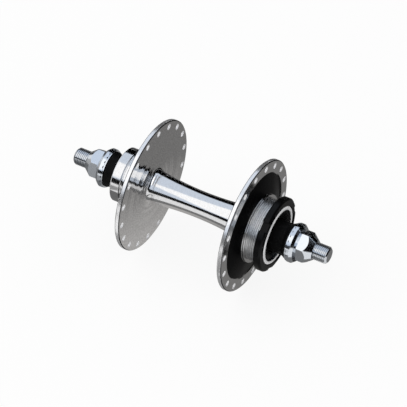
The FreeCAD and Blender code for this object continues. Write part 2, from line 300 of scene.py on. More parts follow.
# Rolled, not cut, so it is burnished along the thread and has no tool marks.
rolled_steel = finish("rolled_chromoly_steel", "#CDD0D4", 1.0, (0.12, 0.24), mark_depth_mm=0.0)
# Ground and lapped: the brightest steel of all.
bearing_steel = finish("ground_bearing_steel", "#BFC1C4", 1.0, (0.08, 0.16), mark_depth_mm=0.001)
# Soft sheet, pressed and tumbled: dull and a little yellow.
cage_steel = finish("pressed_cage_steel", "#A9A79F", 1.0, (0.25, 0.4), mark_depth_mm=0.0)

node_finish = {
    "hub_shell": polished_aluminium,
    "lockring": black_oxide,
    "axle": rolled_steel,
    "bearing_cup": bearing_steel,
    "balls": bearing_steel,
    "ball_cage": cage_steel,
    "cone": bearing_steel,
    "dust_cap": black_enamel,
    "seal_boot": nitrile_rubber,
    "key_washer": bright_zinc,
    "locknut": bright_zinc,
    "nut_washer": bright_zinc,
    "track_nut": bright_zinc,
}
for name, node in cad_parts.items():
    kind = name.removeprefix("left_").removeprefix("right_")
    node.data.materials.clear()
    node.data.materials.append(node_finish[kind])
print(len(node_finish), "kinds of piece, in", len(set(node_finish.values())), "finishes")

# %% [markdown]
# ## Turned shapes
#
# A lathe makes its shapes by turning an outline, and the same works in Blender: an outline of
# points, each a place along the axle and a radius, swept round Y. Real edges are never knife
# sharp: a lathe hand breaks them with a file, and that small round is what catches the light.
# So each corner of the outline is rounded, and a support point close beside it keeps the flat
# next to it flat when the mesh is shaded smooth.


# %% Outlines
# How far the round of a corner reaches along its sides, in mm: from what a sharp tool leaves to an
# edge that is broken by hand.
CRISP, FINE, PLAIN, EASED, SOFT = 0.1, 0.12, 0.15, 0.2, 0.3
SUPPORT = 0.12
# The most of a side that a round and its support may take, so that two corners never meet.
ROUND_SHARE, SUPPORT_SHARE = 0.4, 0.48


def rounded(rows, closed, steps):
    """Rounds the corners of an outline; a row is (along, radius) or (along, radius, corner) in mm."""
    rows = [row if len(row) == 3 else (*row, PLAIN) for row in rows]
    made = []
    for number, (along, radius, corner) in enumerate(rows):
        here = Vector((along, radius))
        ends = not closed and number in (0, len(rows) - 1)
        if ends or corner == 0:
            made.append(here)
            continue
        before = Vector(rows[number - 1][:2]) - here
        after = Vector(rows[(number + 1) % len(rows)][:2]) - here
        reach = min(corner, before.length * ROUND_SHARE, after.length * ROUND_SHARE)
        support = [min(reach + SUPPORT, side.length * SUPPORT_SHARE) for side in (before, after)]
        before.normalize()
        after.normalize()
        made.append(here + before * support[0])
        for step in range(steps + 1):
            t = step / steps
            made.append(here + before * reach * (1 - t) ** 2 + after * reach * t ** 2)
        made.append(here + after * support[1])
    return made


def through(start, middle, end, count=12):
    """Smooth rows on the circle through three points, leaving out the first."""
    # The centre (cx, cy) is where the bisectors of the two chords cross.
    (x1, y1), (x2, y2), (x3, y3) = start, middle, end
    square1, square2, square3 = x1 * x1 + y1 * y1, x2 * x2 + y2 * y2, x3 * x3 + y3 * y3
    twice = 2 * (x1 * (y2 - y3) + x2 * (y3 - y1) + x3 * (y1 - y2))
    cx = (square1 * (y2 - y3) + square2 * (y3 - y1) + square3 * (y1 - y2)) / twice
    cy = (square1 * (x3 - x2) + square2 * (x1 - x3) + square3 * (x2 - x1)) / twice
    radius = math.hypot(x1 - cx, y1 - cy)
    first = math.atan2(y1 - cy, x1 - cx)
    turn = (math.atan2(y3 - cy, x3 - cx) - first + math.pi) % (2 * math.pi) - math.pi
    angles = [first + turn * (step + 1) / count for step in range(count)]
    return [(cx + radius * math.cos(a), cy + radius * math.sin(a), 0) for a in angles]


square = rounded([(0, 1), (1, 1), (1, 2), (0, 2)], closed=True, steps=4)
print("a square of four rows becomes", len(square), "points")

# %% [markdown]
# The sweep itself is a grid of points: one ring of vertices for each row of the outline, joined by
# quads. Doubles are merged, which closes the poles where an outline meets the axis, and then the
# normals are made to point outwards, because a right-hand piece is swept the other way round.


# %% Sweep an outline round the axle
SAME_POINT = 1e-6
TURNED_EDGE_DEGREES = 32


def shade(mesh, sharp_degrees=TURNED_EDGE_DEGREES):
    """Smooth shading that stays sharp where two faces meet at more than that angle."""
    mesh.shade_smooth()
    mesh.set_sharp_from_angle(angle=math.radians(sharp_degrees))


def turned(name, rows, side=LEFT, closed=True, segments=180, centre=(0, 0), corner_steps=4):
    """A mesh turned about Y, or about a line parallel to it through centre (x, z) in mm."""
    outline = rounded(rows, closed, corner_steps)
    points = []
    for along, radius in outline:
        for column in range(segments):
            angle = 2 * math.pi * column / segments
            points.append((
                (centre[0] + radius * math.sin(angle)) * MM,
                side * along * MM,
                (centre[1] + radius * math.cos(angle)) * MM,
            ))
    faces = []
    for row in range(len(outline) if closed else len(outline) - 1):
        this, following = row * segments, (row + 1) % len(outline) * segments
        for column in range(segments):
            beside = (column + 1) % segments
            faces.append((this + column, this + beside, following + beside, following + column))
    shape = bmesh.new()
    mesh = bpy.data.meshes.new(name)
    mesh.from_pydata(points, [], faces)
    shape.from_mesh(mesh)
    bmesh.ops.remove_doubles(shape, verts=shape.verts, dist=SAME_POINT)
    bmesh.ops.recalc_face_normals(shape, faces=shape.faces)
    shape.to_mesh(mesh)
    shape.free()
    shade(mesh)
    return mesh


def as_object(name, mesh):
    """Puts a mesh in the scene under that name."""
    made = bpy.data.objects.new(name, mesh)
    bpy.context.scene.collection.objects.link(made)
    return made


# %% [markdown]
# ## Cuts that repeat round the axle
#
# A dividing head turns the work by equal steps and makes the same cut at each. The node tree does
# the same: points at the middle, one for each cut, carry copies of the cutter turned about the
# axle by their number times the step, and one boolean takes them all away. The cutter is drawn
# once, at the top of the hub, where its shape is easy to see.


# %% An empty tree with named inputs
def socket_title(keyword):
    """A keyword as a socket's title: first_turn becomes First turn."""
    return keyword.replace("_", " ").capitalize()


def with_sockets(name, **sockets):
    """An empty geometry tree with its group's input and output nodes and named sockets."""
    tree = bpy.data.node_groups.new(name, "GeometryNodeTree")
    tree.interface.new_socket("Geometry", in_out="OUTPUT", socket_type="NodeSocketGeometry")
    tree.interface.new_socket("Geometry", in_out="INPUT", socket_type="NodeSocketGeometry")
    for keyword, kind in sockets.items():
        tree.interface.new_socket(
            socket_title(keyword), in_out="INPUT", socket_type="NodeSocket" + kind)
    return tree, add(tree, "NodeGroupInput").outputs, add(tree, "NodeGroupOutput").inputs


# %% The tree for a ring of cuts
cuts_tree, given, result = with_sockets(
    "ring_of_cuts", cutter="Object", count="Int", step="Float", first_turn="Float", finish="Material")
cutter_shape = add(cuts_tree, "GeometryNodeObjectInfo", {"Object": given["Cutter"]})
spots = add(cuts_tree, "GeometryNodePoints", {"Count": given["Count"]})
number = add(cuts_tree, "GeometryNodeInputIndex")
turn_angle = add(cuts_tree, "ShaderNodeMath", {
    0: number.outputs[0], 1: given["Step"], 2: given["First turn"],
}, operation="MULTIPLY_ADD")
turn_vector = add(cuts_tree, "ShaderNodeCombineXYZ", {"Y": turn_angle.outputs[0]})
turned_cutters = add(cuts_tree, "GeometryNodeInstanceOnPoints", {
    "Points": spots.outputs[0],
    "Instance": cutter_shape.outputs["Geometry"],
    "Rotation": turn_vector.outputs[0],
})
real_cutters = add(cuts_tree, "GeometryNodeRealizeInstances", {0: turned_cutters.outputs[0]})
cut = add(cuts_tree, "GeometryNodeMeshBoolean", {
    "Mesh 1": given["Geometry"], "Mesh 2": real_cutters.outputs[0],
}, operation="DIFFERENCE", solver="MANIFOLD")
finished = add(cuts_tree, "GeometryNodeSetMaterial", {
    "Geometry": cut.outputs[0], "Material": given["Finish"],
})
cuts_tree.links.new(finished.outputs[0], result[0])
print("ring of cuts:", len(cuts_tree.nodes), "nodes")

# %% [markdown]
# A tree works as a modifier of an object. Its inputs are set by their identifiers before the object
# is first evaluated, and what comes out is copied to a plain mesh.


# %% Run a tree on a mesh
def run(tree, name, mesh, **values):
    """Runs a tree on a mesh with named values, and returns the plain mesh that comes out."""
    carrier = as_object(name, mesh)
    modifier = carrier.modifiers.new(tree.name, "NODES")
    modifier.node_group = tree
    for keyword, value in values.items():
        modifier[tree.interface.items_tree[socket_title(keyword)].identifier] = value
    made = bpy.data.meshes.new_from_object(
        carrier.evaluated_get(bpy.context.evaluated_depsgraph_get()))
    bpy.data.objects.remove(carrier)
    made.name = name
    shade(made)
    return made


def cut_ring(name, mesh, cutter_mesh, count, first_degrees, material):
    """Cuts the same shape count times round the axle, in equal steps."""
    cutter = as_object("cutter", cutter_mesh)
    made = run(cuts_tree, name, mesh, cutter=cutter, count=count, step=math.radians(360 / count),
               first_turn=math.radians(first_degrees), finish=material)
    bpy.data.objects.remove(cutter)
    return made


# %% [markdown]
# ## Cut threads
#
# A screw thread is a ridge that climbs round a core. The tree draws a spiral at the root, sweeps a
# trapezoid along it, trims the crest with an envelope turned to the thread's outside diameter, so
# that it fades out at the chamfers as a real one does, and joins what is left to the core. The
# axle has 26 threads to the inch and the sprocket's seat has 24.

# %% The tree for a thread
# The ridge's foot and crest are shares of the pitch. It is more than twice as high as the thread is
# deep, because its lower half is sunk in the core.
RIDGE_FOOT, RIDGE_CREST, RIDGE_HEIGHT = 0.86, 0.10, 2.2
STEPS_A_TURN = 48

thread_tree, given, result = with_sockets(
    "thread", envelope="Object", root_radius="Float", depth="Float", pitch="Float", start="Float",
    length="Float", left_handed="Bool", outward_turn="Float", finish="Material")
turns = add(thread_tree, "ShaderNodeMath", {
    0: given["Length"], 1: given["Pitch"],
}, operation="DIVIDE")
helix = add(thread_tree, "GeometryNodeCurveSpiral", {
    "Resolution": STEPS_A_TURN,
    "Rotations": turns.outputs[0],
    "Start Radius": given["Root radius"],
    "End Radius": given["Root radius"],
    "Height": given["Length"],
    "Reverse": given["Left handed"],
})
upright = add(thread_tree, "GeometryNodeSetCurveNormal", {0: helix.outputs[0]}, mode="Z_UP")
foot, crest, height = [
    add(thread_tree, "ShaderNodeMath", {0: given[size], 1: share}, operation="MULTIPLY").outputs[0]
    for size, share in (("Pitch", RIDGE_FOOT), ("Pitch", RIDGE_CREST), ("Depth", RIDGE_HEIGHT))]
section = add(thread_tree, "GeometryNodeCurvePrimitiveQuadrilateral", {
    "Bottom Width": foot, "Top Width": crest, "Height": height, "Offset": 0.0,
}, mode="TRAPEZOID")
sideways = add(thread_tree, "GeometryNodeTransform", {
    "Geometry": section.outputs[0], "Rotation": (0, 0, math.radians(90)),
})
swept = add(thread_tree, "GeometryNodeCurveToMesh", {
    "Curve": upright.outputs[0], "Profile Curve": sideways.outputs[0], "Fill Caps": True,
})
lifted = add(thread_tree, "ShaderNodeCombineXYZ", {"Z": given["Start"]})
raised = add(thread_tree, "GeometryNodeTransform", {
    "Geometry": swept.outputs[0], "Translation": lifted.outputs[0],
})
laid_over = add(thread_tree, "ShaderNodeCombineXYZ", {"X": given["Outward turn"]})
laid = add(thread_tree, "GeometryNodeTransform", {
    "Geometry": raised.outputs[0], "Rotation": laid_over.outputs[0],
})
envelope_shape = add(thread_tree, "GeometryNodeObjectInfo", {"Object": given["Envelope"]})
trimmed = add(thread_tree, "GeometryNodeMeshBoolean", {
    "Mesh 2": laid.outputs[0],
}, operation="INTERSECT", solver="MANIFOLD")
thread_tree.links.new(envelope_shape.outputs["Geometry"], trimmed.inputs["Mesh 2"])
joined = add(thread_tree, "GeometryNodeMeshBoolean", {
    "Mesh 2": trimmed.outputs[0],
}, operation="UNION", solver="MANIFOLD")
thread_tree.links.new(given["Geometry"], joined.inputs["Mesh 2"])
real = add(thread_tree, "GeometryNodeRealizeInstances", {0: joined.outputs[0]})
finished = add(thread_tree, "GeometryNodeSetMaterial", {
    "Geometry": real.outputs[0], "Material": given["Finish"],
})
thread_tree.links.new(finished.outputs[0], result[0])
print("thread:", len(thread_tree.nodes), "nodes")


# %% Cut a thread
def cut_thread(name, mesh, envelope_mesh, side, root, depth, pitch, start, length, material,
               left_handed=False):
    """Adds a thread to a core; sizes are in mm and start is measured outwards."""
    envelope = as_object("envelope", envelope_mesh)
    made = run(thread_tree, name, mesh, envelope=envelope, root_radius=root * MM, depth=depth * MM,
               pitch=pitch * MM, start=start * MM, length=length * MM, left_handed=left_handed,
               outward_turn=math.radians(-90 * side), finish=material)
    bpy.data.objects.remove(envelope)
    return made


# %% [markdown]
# ## The axle
#
# A solid steel rod with a thread rolled on each end and a keyway milled along it, where the tabs
# of the washers slide. It is turned to the root of the thread, given its threads, and cut last.

# %% The threaded axle
INCH = 25.4
AXLE_TIP, AXLE_RADIUS, AXLE_CHAMFER = 75.5, 4.75, 1.1
AXLE_PITCH, AXLE_THREAD_DEPTH = INCH / 26, 0.58
MIDDLE_RADIUS, THREAD_START, CORE_TAPER = 4.5, 29.0, 0.4
# The thread's envelope opens from just above the root, a little before the thread starts, to the
# full radius a little after it.
FADE_BEFORE, FADE_AFTER, FADE_LIFT, ENVELOPE_CORE = 0.2, 1.2, 0.02, 2.0
# The spiral begins before the thread and is longer, so that the envelope cuts both its ends.
SPIRAL_LEAD, SPIRAL_EXTRA = 0.6, 1.0
AXLE_SEGMENTS = 72

axle_root = AXLE_RADIUS - AXLE_THREAD_DEPTH
half_axle = [
    (THREAD_START - CORE_TAPER, MIDDLE_RADIUS, CRISP),
    (THREAD_START, axle_root, CRISP),
    (AXLE_TIP - (AXLE_CHAMFER - AXLE_THREAD_DEPTH), axle_root, CRISP),
    (AXLE_TIP, AXLE_RADIUS - AXLE_CHAMFER, PLAIN),
    (AXLE_TIP, 0),
]
other_half = [(-row[0], *row[1:]) for row in reversed(half_axle)]
axle_mesh = turned("axle", other_half + half_axle, closed=False, segments=AXLE_SEGMENTS)
for side in (LEFT, RIGHT):
    envelope = turned("envelope", [
        (THREAD_START - FADE_BEFORE, ENVELOPE_CORE),
        (THREAD_START - FADE_BEFORE, axle_root + FADE_LIFT),
        (THREAD_START + FADE_AFTER, AXLE_RADIUS),
        (AXLE_TIP - AXLE_CHAMFER, AXLE_RADIUS, CRISP),
        (AXLE_TIP, AXLE_RADIUS - AXLE_CHAMFER),
        (AXLE_TIP, ENVELOPE_CORE),
    ], side, segments=AXLE_SEGMENTS)
    axle_mesh = cut_thread(
        "axle", axle_mesh, envelope, side, axle_root, AXLE_THREAD_DEPTH, AXLE_PITCH,
        THREAD_START - SPIRAL_LEAD, AXLE_TIP - THREAD_START + SPIRAL_EXTRA, rolled_steel)
print("threaded axle", len(axle_mesh.polygons), "faces")


# %% The keyway
def box_mesh(name, low, high):
    """A plain block between two corners, in mm."""
    shape = bmesh.new()
    bmesh.ops.create_cube(shape, size=1)
    for vertex in shape.verts:
        for axis in range(3):
            vertex.co[axis] = (low[axis] if vertex.co[axis] < 0 else high[axis]) * MM
    mesh = bpy.data.meshes.new(name)
    shape.to_mesh(mesh)
    shape.free()
    return mesh


KEYWAY_WIDTH, KEYWAY_FLOOR, KEYWAY_LENGTH, KEYWAY_ANGLE = 2.6, 3.75, 33.0, 140.0
# The cutter stands out of the metal, past the tip and above the thread.
PAST_TIP, CUTTER_TOP = 1, 6
for side in (LEFT, RIGHT):
    ends = sorted((side * (AXLE_TIP - KEYWAY_LENGTH), side * (AXLE_TIP + PAST_TIP)))
    slot = box_mesh("slot", (-KEYWAY_WIDTH / 2, ends[0], KEYWAY_FLOOR),
                    (KEYWAY_WIDTH / 2, ends[1], CUTTER_TOP))
    axle_mesh = cut_ring("axle", axle_mesh, slot, 1, KEYWAY_ANGLE, rolled_steel)
axle = as_object("threaded_axle", axle_mesh)
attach(axle, "axle_set")
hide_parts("axle")
print("axle", len(axle_mesh.polygons), "faces")

# %% [markdown]
# ## The shell
#
# One forging, turned all over. Its outline runs from the left boss's mouth over the groove and the
# dished disc to the left flange's rim, in to the barrel, and out again to the threaded boss on the
# right. The barrel is waisted, and wide fillets carry it into the flanges without a seam.

# %% Flanges
RIM, CHAMFER = 36.75, 0.4
# Places along the axle: the drilled ring's two faces, the step inside it and the disc's raised root.
FLANGE_IN, FLANGE_OUT, STEP_FACE, BOSS_BASE = 28.9, 31.5, 31.0, 33.95
# Radii: where the ring's outer face ends, where the step does, and where the disc meets the boss.
BAND_IN, STEP_IN, DISC_IN = 30.2, 29.6, 19.0


def flange_rows(side):
    """From the inner face round the rim to the dished disc."""
    rows = [(FLANGE_IN, RIM - CHAMFER, EASED), (FLANGE_IN + CHAMFER, RIM, EASED),
            (FLANGE_OUT - CHAMFER, RIM, EASED), (FLANGE_OUT, RIM - CHAMFER, EASED),
            (FLANGE_OUT, BAND_IN, FINE), (STEP_FACE, STEP_IN, FINE)]
    return [(side * row[0], *row[1:]) for row in rows]


print("flanges", round(FLANGE_OUT - FLANGE_IN, 2), "mm thick,", 2 * RIM, "mm across")

# %% Barrel
# Radii at its ends and in the middle, and the fillet that joins it to the flanges.
BARREL_END, WAIST, FILLET, BARREL_STEPS = 8.9, 7.2, 4.2, 48

lean = FLANGE_IN - FILLET
diagonal = FILLET * math.sqrt(0.5)
middle_along = lean + diagonal
middle_radius = BARREL_END + FILLET - diagonal
left_root = [(FLANGE_IN, BARREL_END + FILLET, 0)]
left_root += through((FLANGE_IN, BARREL_END + FILLET), (middle_along, middle_radius), (lean, BARREL_END))
barrel = through((lean, BARREL_END), (0, WAIST), (-lean, BARREL_END), BARREL_STEPS)
right_root = through((-lean, BARREL_END), (-middle_along, middle_radius),
                     (-FLANGE_IN, BARREL_END + FILLET))
print("barrel in", len(barrel), "rows")

# %% Bosses
# Places along the axle: the sprocket's shoulder, the step down to the lockring, and the two mouths.
SHOULDER, LOCKRING_STEP, RIGHT_END, LEFT_END = 35.3, 41.1, 45.6, 47.2
SPROCKET_R, LOCKRING_R, SHELL_PITCH, SHELL_THREAD_DEPTH = 17.4, 16.4, INCH / 24, 0.55
LEFT_BOSS_R, LEFT_FILLET, LEFT_FILLET_STEPS = 15, 2, 8
# The groove's two edges. Its sides slope at 45 degrees.
GROOVE_OUTER, GROOVE_INNER, GROOVE_DEPTH = 42.0, 40.6, 0.5

left_mouth = LEFT_BOSS_R - CHAMFER
foot_radius = LEFT_BOSS_R + LEFT_FILLET
foot_along = BOSS_BASE + LEFT_FILLET
diagonal = LEFT_FILLET * math.sqrt(0.5)
boss_root = through((foot_along, LEFT_BOSS_R), (foot_along - diagonal, foot_radius - diagonal),
                    (BOSS_BASE, foot_radius), LEFT_FILLET_STEPS)
left_boss = [
    (LEFT_END, left_mouth, EASED), (LEFT_END - CHAMFER, LEFT_BOSS_R, EASED),
    (GROOVE_OUTER, LEFT_BOSS_R, FINE), (GROOVE_OUTER - GROOVE_DEPTH, LEFT_BOSS_R - GROOVE_DEPTH, CRISP),
    (GROOVE_INNER + GROOVE_DEPTH, LEFT_BOSS_R - GROOVE_DEPTH, CRISP), (GROOVE_INNER, LEFT_BOSS_R, FINE),
    (foot_along, LEFT_BOSS_R, 0), *boss_root, (BOSS_BASE, DISC_IN, SOFT),
]
sprocket_root = SPROCKET_R - SHELL_THREAD_DEPTH
lockring_root = LOCKRING_R - SHELL_THREAD_DEPTH
right_boss = [
    (-BOSS_BASE, DISC_IN, PLAIN), (-SHOULDER, DISC_IN, EASED),
    (-SHOULDER, sprocket_root, CRISP), (-LOCKRING_STEP, sprocket_root, CRISP),
    (-LOCKRING_STEP, lockring_root, CRISP), (-RIGHT_END, lockring_root, EASED),
]
print("left boss", 2 * LEFT_BOSS_R, "mm, sprocket's seat", 2 * SPROCKET_R, "mm across")

# %% Bore, and the whole outline turned
# Where the right dust cap and the bearing cups come to rest, and the radii of their seats.
CAP_SEAT, CUP_BACK = 42.2, 33.395
CAP_BORE, CUP_BORE, BARREL_BORE, BORE_CHAMFER = 14.4, 13.73, 5.5, 1.5

inside = [
    (-RIGHT_END, CAP_BORE, EASED), (-CAP_SEAT, CAP_BORE), (-CAP_SEAT, CUP_BORE),
    (-CUP_BACK, CUP_BORE), (-CUP_BACK, BARREL_BORE + BORE_CHAMFER),
    (-CUP_BACK + BORE_CHAMFER, BARREL_BORE, SOFT), (CUP_BACK - BORE_CHAMFER, BARREL_BORE, SOFT),
    (CUP_BACK, BARREL_BORE + BORE_CHAMFER), (CUP_BACK, CUP_BORE), (LEFT_END, CUP_BORE, EASED),
]
shell_rows = [*left_boss, *reversed(flange_rows(LEFT)), *left_root, *barrel, *right_root,
              *flange_rows(RIGHT), *right_boss, *inside]
shell_mesh = turned("shell", shell_rows)
print("shell's outline has", len(shell_rows), "rows")

# %% [markdown]
# ### Spoke holes and threads
#
# Each flange has eighteen holes, countersunk on both faces so that the spoke's bend doesn't meet a
# sharp edge. The left flange's holes sit half a step from the right's, which lets spokes cross from
# side to side. Sprocket and lockring screw on opposite ways, so that one locks the other.

# %% Drill the spoke holes
SPOKE_CIRCLE, SPOKE_HOLE, COUNTERSINK, HOLES = 33.5, 1.3, 0.4, 18
DRILL_SEGMENTS, DRILL_CORNER_STEPS = 28, 3
# The drill stands out of both faces, and its cone goes on at the same slope.
PAST_FACE = 0.5

half_flange = (FLANGE_OUT - FLANGE_IN) / 2
flange_middle = (FLANGE_OUT + FLANGE_IN) / 2
drill_end = half_flange + PAST_FACE
drill_rows = [
    (-drill_end, 0), (-drill_end, SPOKE_HOLE + COUNTERSINK + PAST_FACE),
    (-half_flange + COUNTERSINK, SPOKE_HOLE, SOFT), (half_flange - COUNTERSINK, SPOKE_HOLE, SOFT),
    (drill_end, SPOKE_HOLE + COUNTERSINK + PAST_FACE), (drill_end, 0),
]
drill_rows = [(row[0] + flange_middle, *row[1:]) for row in drill_rows]
half_step = 180 / HOLES
for side, first_hole in ((LEFT, half_step), (RIGHT, 0)):
    drill = turned("drill", drill_rows, side, closed=False, segments=DRILL_SEGMENTS,
                   centre=(0, SPOKE_CIRCLE), corner_steps=DRILL_CORNER_STEPS)
    shell_mesh = cut_ring("shell", shell_mesh, drill, HOLES, first_hole, polished_aluminium)
print("drilled shell", len(shell_mesh.polygons), "faces")

# %% Cut the sprocket's and the lockring's threads
# Each thread's envelope starts beyond a relief, is full a little later, and ends in a chamfer. Its
# inner wall lies in the metal of the boss.
RELIEF, FULL, END_CHAMFER, END_GAP, ENVELOPE_BORE = 0.35, 0.8, 0.5, 0.04, 15.1
SPIRAL_PAST = 0.2

for start, end, major, left_handed in (
        (SHOULDER, LOCKRING_STEP, SPROCKET_R, False), (LOCKRING_STEP, RIGHT_END, LOCKRING_R, True)):
    envelope = turned("envelope", [
        (start + RELIEF, ENVELOPE_BORE), (start + RELIEF, major - (FULL - RELIEF), CRISP),
        (start + FULL, major, CRISP), (end - END_CHAMFER, major, CRISP),
        (end - END_GAP, major - END_CHAMFER, CRISP), (end - END_GAP, ENVELOPE_BORE),
    ], RIGHT)
    shell_mesh = cut_thread(
        "shell", shell_mesh, envelope, RIGHT, major - SHELL_THREAD_DEPTH, SHELL_THREAD_DEPTH,
        SHELL_PITCH, start - SPIRAL_PAST, end - start + 2 * SPIRAL_PAST, polished_aluminium, left_handed)
print("threaded shell", len(shell_mesh.polygons), "faces")

# %% [markdown]
# ### Where each finish goes
#
# The shell is one mesh, and a mesh can hold several materials, one for each face. A face's finish
# follows from where it lies and how steeply it stands, just as the tool that made it did. A face
# that no tool claims keeps the mirror polish.

# %% Give each face of the shell its finish
shell_finishes = [polished_aluminium, black_aluminium, cut_aluminium, faced_aluminium, rim_aluminium,
                  buffed_aluminium, painted_dark_chamfer]
for material in shell_finishes[1:]:
    shell_mesh.materials.append(material)

# Slack in mm for telling which surface a face lies on: beside a flat, and beside a rounded corner.
SLACK, ROUND_SLACK = 0.02, 0.08
# How deep the skimmed ends of the bosses reach.
END_DEPTH = 0.3
# The holes keep this far from the band's step and from the rim.
HOLE_MARGIN = 1
# A face is flat on above the first tilt, and a chamfer between the other two.
FLAT_TILT, CHAMFER_TILTS = 0.98, (0.3, 0.96)


def finish_at(along, radius, tilt):
    """The finish of a face: along and radius are in mm, and tilt is 1 where it faces along the axle."""
    out = abs(along)
    in_flange = FLANGE_IN - SLACK < out < FLANGE_OUT + SLACK
    in_hole = in_flange and STEP_IN + HOLE_MARGIN < radius < RIM - HOLE_MARGIN and tilt < FLAT_TILT
    on_end = along < END_DEPTH - RIGHT_END or along > LEFT_END - END_DEPTH
    on_disc = DISC_IN + ROUND_SLACK < radius < STEP_IN + SLACK and STEP_FACE - SLACK < out < BOSS_BASE + SLACK
    if on_disc:
        return black_aluminium
    if in_hole or on_end:
        return faced_aluminium
    # The flanges' chamfers get the metal painted dark, a painted dark line beside the rim.
    if in_flange and radius > RIM - CHAMFER and CHAMFER_TILTS[0] < tilt < CHAMFER_TILTS[1]:
        return painted_dark_chamfer
    if radius > RIM - ROUND_SLACK:
        return rim_aluminium
    if FLANGE_IN - FILLET - CHAMFER < out < FLANGE_IN + SLACK:
        return buffed_aluminium
    if along < -SHOULDER or (along > CAP_SEAT and radius < left_mouth):
        return cut_aluminium
    return polished_aluminium


for polygon in shell_mesh.polygons:
    place = polygon.center / MM
    chosen = finish_at(place.y, math.hypot(place.x, place.z), abs(polygon.normal.y))
    polygon.material_index = shell_finishes.index(chosen)
print("finishes on the shell:", len({polygon.material_index for polygon in shell_mesh.polygons}))
shell = as_object("drilled_shell", shell_mesh)
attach(shell, "shell")
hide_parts("hub_shell")

# %% [markdown]
# ## Edges of the small parts
#
# Lockring, nuts, washers, locknuts, caps and boots already have their shapes in the CAD model, but
# its edges are mathematically sharp. Each gets a copy whose loose triangles are merged back to
# whole faces, and a narrow bevel on every edge: a tenth of a millimetre on plated steel, more on
# moulded rubber. Hardened normals keep the faces between the bevels flat.


# %% Break the edges
# Points this near are one, faces that turn less than the first angle are one, and edges that turn
# more than the second are broken.
WELD, FLAT_DEGREES, EDGE_DEGREES = 2e-6, 0.2, 24
# Widths of the broken edges in mm.
RING_EDGE, STEEL_EDGE, WASHER_EDGE, RUBBER_EDGE = 0.2, 0.12, 0.1, 0.25


def softened(name, node_name, width_mm, body, material):
    """A piece that stands for a CAD node, with its edges broken."""
    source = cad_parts[node_name]
    mesh = source.data.copy()
    shape = bmesh.new()
    shape.from_mesh(mesh)
    bmesh.ops.remove_doubles(shape, verts=shape.verts, dist=WELD)
    bmesh.ops.dissolve_limit(shape, angle_limit=math.radians(FLAT_DEGREES), verts=shape.verts,
                             edges=shape.edges)
    shape.to_mesh(mesh)
    shape.free()
    for custom in [a for a in mesh.attributes if a.name == "custom_normal"]:
        mesh.attributes.remove(custom)
    mesh.materials.clear()
    mesh.materials.append(material)
    shade(mesh, EDGE_DEGREES)
    blank = as_object(name, mesh)
    bevel = blank.modifiers.new("bevel", "BEVEL")
    bevel.width = width_mm * MM
    bevel.segments = 2
    bevel.limit_method = "ANGLE"
    bevel.angle_limit = math.radians(EDGE_DEGREES)
    bevel.harden_normals = True
    finished_mesh = bpy.data.meshes.new_from_object(
        blank.evaluated_get(bpy.context.evaluated_depsgraph_get()))
    blank.modifiers.clear()
    blank.data = finished_mesh
    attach(blank, body)
    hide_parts(node_name)
    return blank


softened_parts = [
    softened("broken_edge_lockring", "lockring", RING_EDGE, "lockring", black_oxide)]
for side_name in ("left", "right"):
    softened_parts += [
        softened(side_name + "_hexagon_nut", side_name + "_track_nut", STEEL_EDGE,
                 side_name + "_nut", bright_zinc),
        softened(side_name + "_grip_washer", side_name + "_nut_washer", WASHER_EDGE,
                 side_name + "_washer", bright_zinc),
        softened(side_name + "_round_locknut", side_name + "_locknut", STEEL_EDGE,
                 "axle_set", bright_zinc),
        softened(side_name + "_moulded_boot", side_name + "_seal_boot", RUBBER_EDGE,
                 "axle_set", nitrile_rubber),
        softened(side_name + "_pressed_cap", side_name + "_dust_cap", STEEL_EDGE,
                 "shell", black_enamel),
    ]
print(len(softened_parts), "small parts with broken edges")

# %% [markdown]
# ## Floor
#
# The hub stands over a plain white table. How bright the table looks has to come from its colour
# and not from more light, which would burn the hub out. So most of what the camera and the mirrors
# see of it is plain white, chosen with the Light Path node, and the rest is its own shading, which
# keeps the hub's shadow.

# %% Who looks at a surface
def looked_at(tree):
    """One for rays that see a surface directly, in a mirror or through glass, else nought."""
    ray = add(tree, "ShaderNodeLightPath")
    seen = add(tree, "ShaderNodeMath", {
        0: ray.outputs["Is Camera Ray"], 1: ray.outputs["Is Glossy Ray"],
    }, operation="MAXIMUM")
    return add(tree, "ShaderNodeMath", {
        0: seen.outputs[0], 1: ray.outputs["Is Transmission Ray"],
    }, operation="MAXIMUM").outputs[0]


# %% Lay the floor
# In metres: the gap under the hub and the floor's width. The last is the share of plain white.
FLOOR_GAP, FLOOR_SIZE, FLOOR_WHITE = 0.0002, 30, 0.88

floor_height = cad_box[0].z - FLOOR_GAP
floor_paint = bpy.data.materials.new("floor_paint")
floor_paint.use_nodes = True
tree = floor_paint.node_tree
shader = tree.nodes["Principled BSDF"]
shader.inputs["Base Color"].default_value = colour("#FAFAFA")
shader.inputs["Roughness"].default_value = 1.0
shader.inputs["Specular IOR Level"].default_value = 0.0
white = add(tree, "ShaderNodeEmission", {"Strength": 1.0})
share = add(tree, "ShaderNodeMath", {0: looked_at(tree), 1: FLOOR_WHITE}, operation="MULTIPLY")
blend = add(tree, "ShaderNodeMixShader", {
    0: share.outputs[0], 1: shader.outputs[0], 2: white.outputs[0],
})
tree.links.new(blend.outputs[0], tree.nodes["Material Output"].inputs["Surface"])


def flat_card(name, centre, across, along, material, x_axis=(1, 0, 0), y_axis=(0, 1, 0)):
    """A flat rectangle of stage, from its centre, its two sizes and the directions they run in."""
    half_x = Vector(x_axis).normalized() * across / 2
    half_y = Vector(y_axis).normalized() * along / 2
    middle = Vector(centre)
    corners = [middle - half_x - half_y, middle + half_x - half_y,
               middle + half_x + half_y, middle - half_x + half_y]
    mesh = bpy.data.meshes.new(name)
    mesh.from_pydata(corners, [], [(0, 1, 2, 3)])
    mesh.materials.append(material)
    card = as_object(name, mesh)
    return card


flat_card("floor", (0, 0, floor_height), FLOOR_SIZE, FLOOR_SIZE, floor_paint)
print("floor", round(-floor_height / MM, 2), "mm below the axle")

